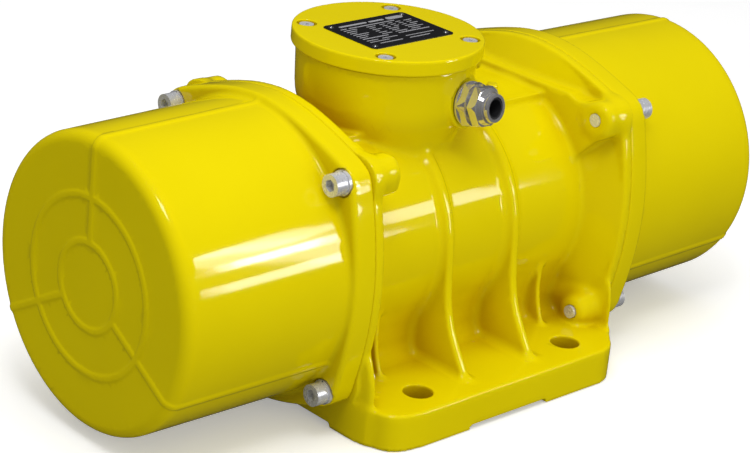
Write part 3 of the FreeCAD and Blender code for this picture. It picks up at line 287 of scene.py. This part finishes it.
def cover_field(X, Y, Z):
    """The right-hand cover; the left one is its mirror."""
    Zs = Z - F32(H)
    R = np.sqrt(Y * Y + Zs * Zs)
    cone = R - (108.4 - (X - 132) * F32(1.7 / 158.6))
    cup = rmax(cone, X - 290.6, 8.6)
    # ridges: three straight ones over the end and down the side
    for a in (0, 120, 240):
        s, c = math.sin(math.radians(a)), math.cos(math.radians(a))
        side = Y * F32(c) - Zs * F32(s)
        out = Y * F32(s) + Zs * F32(c)
        ridge = rmax(cup - 0.8, np.abs(side) - 2.3, 1.2)
        cup = rmin(cup, np.maximum(ridge, 31.5 - out), 1.4)
    for r in (63.8, 31.5):
        ring = rmax(np.maximum(X - 291.4, 288 - X), np.abs(R - F32(r)) - 2.3, 1.2)
        cup = rmin(cup, ring, 1.4)
    cup = np.maximum(cup, X - 291.4)
    rim = rmax(poly2(Y, Zs, RIM_PTS), X - 151.0, 3.8)
    cup = rmin(cup, rim, 3.5)
    cup = rmax(cup, 132.15 - X, 0.7)
    # hollow, seal groove and screw holes
    cup = np.maximum(cup, -rmax(cone + 6.0, X - 284.6, 4))
    cup = np.maximum(cup, -np.maximum(np.abs(R - 105) - 1.6, X - 134.2))
    aY, aZ = np.abs(Y), np.abs(Zs)
    at = np.sqrt((aY - 90) ** 2 + (aZ - 78.7) ** 2)
    cup = rmax(cup, -np.maximum(at - 10.0, 148.5 - X), 0.5)
    cup = np.maximum(cup, 5.5 - at)
    return cup


def lid_field(X, Y, Z):
    r = np.sqrt((X - F32(BOX_X)) ** 2 + Y * Y)
    d = rmax(rmax(r - 70.2, Z - 258.8, 1.3), 247.5 - Z, 1.2)
    ax, ay = np.abs(X - F32(BOX_X)), np.abs(Y)
    q = np.sqrt((ax - 42.0) ** 2 + (ay - 42.0) ** 2)
    d = rmax(d, -np.maximum(q - 7.2, 253.8 - Z), 0.7)
    d = np.maximum(d, 3.3 - q)
    return d


SKY_LOW, SKY_TOP, SKY_GLOSS = 0.34, 0.62, 0.06
STEP = 1.0
pts, tris, quads, nrm = skin(housing_field, (-134, -142, -3), (134, 142, 250), STEP, 0.06)
housing = solid_mesh("housing_casting", pts, tris, quads, nrm)
pts, tris, quads, nrm = skin(cover_field, (130, -132, 0), (293.5, 132, 248), STEP, 0.025)
cover_r = solid_mesh("cover_casting_right", pts, tris, quads, nrm)
flip = np.array([-1.0, 1.0, 1.0])
cover_l = solid_mesh("cover_casting_left", pts * flip, tris[:, ::-1], quads[:, ::-1], nrm * flip.astype(F32))
pts, tris, quads, nrm = skin(lid_field, (-103, -72, 245.5), (41, 72, 260.5), 0.6, 0.05)
lid = solid_mesh("lid_casting", pts, tris, quads, nrm)
for ob, node in ((housing, "motor_housing"), (cover_r, "end_cover_right"), (cover_l, "end_cover_left"), (lid, "terminal_lid")):
    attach(ob, "housing")
    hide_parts(node)
    print(ob.name, len(ob.data.vertices), len(ob.data.polygons))

# generic bars on the name plate, where a real one carries its data
ROWS = [(20.6, 1.5, [(-30, -3), (-1, 14)]), (15.4, 0.75, [(-33, -27), (-25, 20)]), (12.0, 0.6, [(-33, -20), (-11, -2), (2, 7), (10, 15), (18, 23), (26, 34)]),
        (8.6, 0.6, [(-33, -23), (-11, -5), (2, 7), (10, 15), (18, 23), (26, 31)]), (5.2, 0.6, [(-33, -26), (-11, -2), (2, 7), (10, 15), (18, 23), (26, 34)]),
        (1.8, 0.6, [(-33, -18), (-11, -7), (2, 12), (18, 30)]), (-1.6, 0.6, [(-33, -21), (-11, -3), (2, 9), (18, 33)]),
        (-5.0, 0.6, [(-33, -25), (-11, -1), (2, 14), (18, 27)]), (-8.4, 0.75, [(-33, -8), (2, 33)]), (-12.6, 0.6, [(-33, -22), (-18, -3)]),
        (-16.0, 0.6, [(-33, -14), (2, 30)]), (-20.4, 0.75, [(-27, -5), (2, 22)])]


def bar(bm, x0, x1, y, r, z0, z1):
    ring = [(x1 - r + r * math.cos(t), y + r * math.sin(t)) for t in [math.radians(a) for a in range(-90, 91, 30)]]
    ring += [(x0 + r + r * math.cos(t), y + r * math.sin(t)) for t in [math.radians(a) for a in range(90, 271, 30)]]
    lo = [bm.verts.new((x * MM, v * MM, z0 * MM)) for x, v in ring]
    hi = [bm.verts.new((x * MM, v * MM, z1 * MM)) for x, v in ring]
    n = len(ring)
    bm.faces.new(hi)
    bm.faces.new(lo[::-1])
    for i in range(n):
        bm.faces.new((lo[i], lo[(i + 1) % n], hi[(i + 1) % n], hi[i]))


bm = bmesh.new()
for y, r, spans in ROWS:
    for x0, x1 in spans:
        bar(bm, BOX_X + x0, BOX_X + x1, y, r * 0.85, PLATE_TOP - 0.05, PLATE_TOP + 0.08)
for x, y, hx, hy in ((24.5, 20.6, 8.0, 2.6),):
    bar(bm, BOX_X + x - hx, BOX_X + x + hx, y, hy, PLATE_TOP - 0.05, PLATE_TOP + 0.08)
marks_me = bpy.data.meshes.new("name_plate_bars")
bm.to_mesh(marks_me)
bm.free()
marks = bpy.data.objects.new("name_plate_bars", marks_me)
bpy.context.scene.collection.objects.link(marks)
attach(marks, "housing")

# ------------------------------------------------------------------ materials


class Mat:
    def __init__(self, name):
        self.m = bpy.data.materials.new(name)
        self.m.use_nodes = True
        self.t = self.m.node_tree
        self.t.nodes.clear()
        self.out = self.n("ShaderNodeOutputMaterial")
        self.b = self.n("ShaderNodeBsdfPrincipled")
        self.link(self.b, "BSDF", self.out, "Surface")

    def n(self, kind, **props):
        x = self.t.nodes.new(kind)
        for k, v in props.items():
            setattr(x, k, v)
        return x

    def link(self, a, ao, b, bi):
        self.t.links.new(a.outputs[ao], b.inputs[bi])

    def set(self, **v):
        for k, x in v.items():
            self.b.inputs[k.replace("_", " ")].default_value = x

    def noise(self, scale, detail=4.0, rough=0.55, coord=None, distort=0.0):
        x = self.n("ShaderNodeTexNoise")
        x.inputs["Scale"].default_value = scale
        x.inputs["Detail"].default_value = detail
        x.inputs["Roughness"].default_value = rough
        x.inputs["Distortion"].default_value = distort
        if coord is None:
            coord = self.coord()
        self.t.links.new(coord, x.inputs["Vector"])
        return x

    def coord(self):
        if not hasattr(self, "tc"):
            self.tc = self.n("ShaderNodeTexCoord")
        return self.tc.outputs["Object"]

    def ramp(self, src, stops, out="Fac"):
        x = self.n("ShaderNodeValToRGB")
        el = x.color_ramp.elements
        while len(el) < len(stops):
            el.new(0.5)
        for e, (p, c) in zip(el, stops):
            e.position = p
            e.color = c if len(c) == 4 else (*c, 1)
        self.t.links.new(src, x.inputs["Fac"])
        return x

    def range(self, src, lo, hi, a=0.0, b=1.0):
        x = self.n("ShaderNodeMapRange")
        x.inputs["From Min"].default_value = a
        x.inputs["From Max"].default_value = b
        x.inputs["To Min"].default_value = lo
        x.inputs["To Max"].default_value = hi
        self.t.links.new(src, x.inputs["Value"])
        return x.outputs["Result"]

    def bump(self, src, strength, distance, chain=None):
        x = self.n("ShaderNodeBump")
        x.inputs["Strength"].default_value = strength
        x.inputs["Distance"].default_value = distance
        self.t.links.new(src, x.inputs["Height"])
        if chain is not None:
            self.t.links.new(chain.outputs["Normal"], x.inputs["Normal"])
        return x

    def math(self, op, a, b):
        x = self.n("ShaderNodeMath", operation=op)
        for i, v in enumerate((a, b)):
            if isinstance(v, (int, float)):
                x.inputs[i].default_value = v
            else:
                self.t.links.new(v, x.inputs[i])
        return x.outputs[0]


def enamel():
    m = Mat("enamel_yellow")
    big = m.noise(7.0, 3.0, 0.5)
    col = m.ramp(big.outputs["Fac"], [(0.3, (0.81, 0.655, 0.0004)), (0.7, (0.85, 0.695, 0.0008))])
    # painted shade: the colour is darkened by ambient occlusion in the creases and recesses, where shade falls
    ao = m.n("ShaderNodeAmbientOcclusion", samples=6, only_local=True)
    ao.inputs["Distance"].default_value = 0.040
    shade = m.ramp(ao.outputs["AO"], [(0.26, (0.52, 0.32, 0.0)), (0.74, (1, 1, 1))])
    crease_shade_mix = m.n("ShaderNodeMix", data_type="RGBA", blend_type="MULTIPLY")
    crease_shade_mix.inputs["Factor"].default_value = 0.76
    m.t.links.new(col.outputs["Color"], crease_shade_mix.inputs[6])
    m.t.links.new(shade.outputs["Color"], crease_shade_mix.inputs[7])
    # painted highlight: the paint is lightened in patches along sharp edges, in place of edge highlights
    geo = m.n("ShaderNodeNewGeometry")
    edge = m.range(geo.outputs["Pointiness"], 0.0, 0.55, 0.515, 0.56)
    edge_highlight_mix = m.n("ShaderNodeMix", data_type="RGBA", blend_type="MIX")
    m.t.links.new(m.math("MULTIPLY", edge, m.noise(90.0, 4.0).outputs["Fac"]), edge_highlight_mix.inputs["Factor"])
    m.t.links.new(crease_shade_mix.outputs[2], edge_highlight_mix.inputs[6])
    edge_highlight_mix.inputs[7].default_value = (0.87, 0.72, 0.006, 1)
    m.t.links.new(edge_highlight_mix.outputs[2], m.b.inputs["Base Color"])
    peel = m.noise(170.0, 2.0, 0.5)
    wave = m.noise(26.0, 2.0, 0.5)
    b1 = m.bump(wave.outputs["Fac"], 0.10, 0.0010)
    b2 = m.bump(peel.outputs["Fac"], 0.05, 0.00022, b1)
    m.link(b2, "Normal", m.b, "Normal")
    m.t.links.new(m.range(m.noise(60.0, 4.0).outputs["Fac"], 0.045, 0.10), m.b.inputs["Roughness"])
    m.set(IOR=1.50)
    return m.m


def metal(name, color, rough, spec=0.5, scale=400.0, strength=0.15, dist=0.0002, full=1.0):
    m = Mat(name)
    n1 = m.noise(scale, 5.0, 0.6)
    dark = tuple(c * 0.82 for c in color)
    col = m.ramp(m.noise(scale * 0.12, 4.0).outputs["Fac"], [(0.3, dark), (0.7, color)])
    m.link(col, "Color", m.b, "Base Color")
    m.t.links.new(m.range(n1.outputs["Fac"], rough * 0.75, rough * 1.3), m.b.inputs["Roughness"])
    m.link(m.bump(n1.outputs["Fac"], strength, dist), "Normal", m.b, "Normal")
    m.set(Metallic=full)
    return m.m


def plain(name, color, rough, scale=300.0, strength=0.2, dist=0.0003, lo=0.8):
    m = Mat(name)
    n1 = m.noise(scale, 5.0, 0.6)
    col = m.ramp(m.noise(scale * 0.1, 4.0).outputs["Fac"], [(0.3, tuple(c * lo for c in color)), (0.7, color)])
    m.link(col, "Color", m.b, "Base Color")
    m.t.links.new(m.range(n1.outputs["Fac"], rough * 0.8, rough * 1.2), m.b.inputs["Roughness"])
    m.link(m.bump(n1.outputs["Fac"], strength, dist), "Normal", m.b, "Normal")
    return m.m


ENAMEL = enamel()
ZINC = metal("zinc_plate", (0.78, 0.79, 0.83), 0.26, full=0.38)
NICKEL = metal("nickel_plate", (0.90, 0.89, 0.90), 0.11, strength=0.05, full=0.80)
RUBBER = plain("rubber_black", (0.018, 0.018, 0.02), 0.6)
LEAD = plain("lead_insulation", (0.03, 0.03, 0.035), 0.45)
PLATE = plain("plate_black", (0.012, 0.012, 0.014), 0.30, 500, 0.05)
ALU = metal("bare_aluminium", (0.80, 0.80, 0.82), 0.33)
BRASS = metal("brass", (0.78, 0.56, 0.24), 0.28)
PHENOLIC = plain("phenolic", (0.09, 0.045, 0.03), 0.4)
IRON = metal("machined_iron", (0.36, 0.36, 0.37), 0.42)
BEARING = metal("bearing_steel", (0.70, 0.71, 0.73), 0.12, strength=0.04)
TURNED = metal("turned_steel", (0.60, 0.60, 0.62), 0.25)
CORE = metal("core_steel", (0.28, 0.29, 0.31), 0.5)
COPPER = metal("varnished_copper", (0.52, 0.19, 0.08), 0.25)
SLOTS = {"enamel": ENAMEL, "zinc_steel": ZINC, "nickel_plate": NICKEL, "rubber_black": RUBBER, "lead_insulation": LEAD,
         "plate_black": PLATE, "bare_aluminium": ALU, "brass_parts": BRASS, "phenolic": PHENOLIC, "machined_iron": IRON,
         "bearing_steel": BEARING, "turned_steel": TURNED, "core_steel": CORE, "varnished_copper": COPPER}
slot_of = {s["node"]: s["material_slot"] for s in frame["record"]["subparts"]}
for name, ob in frame["nodes"].items():
    ob.data.materials.clear()
    ob.data.materials.append(SLOTS[slot_of[name]])
for ob in (housing, cover_r, cover_l, lid):
    ob.data.materials.append(ENAMEL)
marks.data.materials.append(plain("pale_print", (0.38, 0.38, 0.40), 0.5, 400, 0.05, 0.0001))

# ------------------------------------------------------------------ floor, light, camera
me = bpy.data.meshes.new("floor")
s = 6.0
me.from_pydata([(-s, -s, -0.0002), (s, -s, -0.0002), (s, s, -0.0002), (-s, s, -0.0002)], [], [(0, 1, 2, 3)])
floor = bpy.data.objects.new("floor", me)
bpy.context.scene.collection.objects.link(floor)
fm = Mat("floor_white")
fm.set(Base_Color=(0.95, 0.95, 0.95, 1), Roughness=0.9, Emission_Color=(1, 1, 1, 1), Emission_Strength=0.32)
# white to look at, darker as a source of bounced light and reflections
grey = fm.n("ShaderNodeBsdfDiffuse")
grey.inputs["Color"].default_value = (0.40, 0.40, 0.40, 1)
pick = fm.n("ShaderNodeMixShader")
path = fm.n("ShaderNodeLightPath")
fm.link(path, "Is Camera Ray", pick, "Fac")
fm.t.links.new(grey.outputs["BSDF"], pick.inputs[1])
fm.t.links.new(fm.b.outputs["BSDF"], pick.inputs[2])
fm.t.links.new(pick.outputs["Shader"], fm.out.inputs["Surface"])
me.materials.append(fm.m)
floor.visible_glossy = False

world = bpy.data.worlds.new("studio")
bpy.context.scene.world = world
world.use_nodes = True
wt = world.node_tree
bg = wt.nodes["Background"]
bg.inputs["Color"].default_value = (1, 1, 1, 1)


def wmath(op, a, b):
    x = wt.nodes.new("ShaderNodeMath")
    x.operation = op
    for i, v in enumerate((a, b)):
        if isinstance(v, (int, float)):
            x.inputs[i].default_value = v
        else:
            wt.links.new(v, x.inputs[i])
    return x.outputs[0]


# an overhead studio sky: white to the eye, bright above, dim at the sides, dark in reflections
wc = wt.nodes.new("ShaderNodeTexCoord")
ws = wt.nodes.new("ShaderNodeSeparateXYZ")
wt.links.new(wc.outputs["Generated"], ws.inputs[0])
wr = wt.nodes.new("ShaderNodeMapRange")
wr.inputs["From Min"].default_value = -0.1
wr.inputs["From Max"].default_value = 0.9
wr.inputs["To Min"].default_value = SKY_LOW
wr.inputs["To Max"].default_value = SKY_TOP
wt.links.new(ws.outputs["Z"], wr.inputs["Value"])
lp = wt.nodes.new("ShaderNodeLightPath")
seen = lp.outputs["Is Camera Ray"]
gloss = lp.outputs["Is Glossy Ray"]
level = wmath("MULTIPLY", wr.outputs["Result"], wmath("SUBTRACT", 1.0, wmath("MULTIPLY", gloss, 1.0 - SKY_GLOSS)))
level = wmath("ADD", wmath("MULTIPLY", level, wmath("SUBTRACT", 1.0, seen)), wmath("MULTIPLY", seen, 1.05))
wt.links.new(level, bg.inputs["Strength"])


def panel(name, az, el, dist, w, h, radiance, target=(0, 0, 0.11), glossy=True, turn=0.0):
    """A rectangular light at azimuth az from -Y towards +X and elevation el, facing the target."""
    a, e = math.radians(az), math.radians(el)
    d = Vector((math.sin(a) * math.cos(e), -math.cos(a) * math.cos(e), math.sin(e)))
    li = bpy.data.lights.new(name, "AREA")
    li.shape = "RECTANGLE"
    li.size, li.size_y = w, h
    li.energy = radiance * math.pi * w * h
    ob = bpy.data.objects.new(name, li)
    ob.location = Vector(target) + d * dist
    ob.rotation_euler = (d.to_track_quat("Z", "Y").to_matrix() @ Matrix.Rotation(math.radians(turn), 3, "Z")).to_euler()
    ob.visible_glossy = glossy
    bpy.context.scene.collection.objects.link(ob)
    return ob


def window(name, u, z, w, h, radiance, turn=0.0, dist=2.2, az=40.0):
    """A light in the upright plane dist away at azimuth az: u along the plane, z its height, metres."""
    a = math.radians(az)
    n = Vector((math.sin(a), -math.cos(a), 0))
    along_u = Vector((math.cos(a), math.sin(a), 0))
    li = bpy.data.lights.new(name, "AREA")
    li.shape = "RECTANGLE"
    li.size, li.size_y = w, h
    li.energy = radiance * math.pi * w * h
    ob = bpy.data.objects.new(name, li)
    ob.location = n * dist + along_u * u + Vector((0, 0, z))
    ob.rotation_euler = (n.to_track_quat("Z", "Y").to_matrix() @ Matrix.Rotation(math.radians(turn), 3, "Z")).to_euler()
    ob.visible_diffuse = False
    bpy.context.scene.collection.objects.link(ob)
    return ob


window("window_panel", -0.245, 0.69, 0.22, 1.02, 6.0, turn=10.0, dist=2.20)
window("window_top", -0.20, 1.06, 0.21, 0.32, 7.0, turn=14.0, dist=2.18)
window("window_mid", -0.285, 0.715, 0.17, 0.18, 20.0, turn=-16.0, dist=2.16)
window("window_low", -0.34, 0.235, 0.24, 0.20, 9.0, turn=4.0, dist=2.14)
window("window_side", 0.07, 0.70, 0.24, 0.36, 6.5, dist=2.12)
panel("streak", -50, 57, 2.0, 0.45, 0.45, 9.0)
panel("top", -34, 82, 1.35, 1.1, 1.1, 2.0, target=(-0.12, 0, 0.11), glossy=False)
panel("fill", 2, 10, 1.6, 1.0, 0.8, 2.6, target=(-0.10, 0, 0.08), glossy=False)

cam = bpy.data.cameras.new("camera")
cam.sensor_width = 36.0
cam.lens = 36.0 * 2302.07 / 750.0
cam_ob = bpy.data.objects.new("camera", cam)
a, e, roll = math.radians(-44.917), math.radians(22.214), math.radians(5.692)
back = Vector((math.sin(a) * math.cos(e), -math.cos(a) * math.cos(e), math.sin(e)))
right = Vector((math.cos(a), math.sin(a), 0))
up = back.cross(right)
r2 = math.cos(roll) * right + math.sin(roll) * up
u2 = -math.sin(roll) * right + math.cos(roll) * up
m4 = Matrix.Identity(4)
for i in range(3):
    m4[i][0], m4[i][1], m4[i][2] = r2[i], u2[i], back[i]
m4[0][3], m4[1][3], m4[2][3] = -1.1532, -1.1315, 0.7564
cam_ob.matrix_world = m4
bpy.context.scene.collection.objects.link(cam_ob)
bpy.context.scene.camera = cam_ob
cam.clip_end = 50
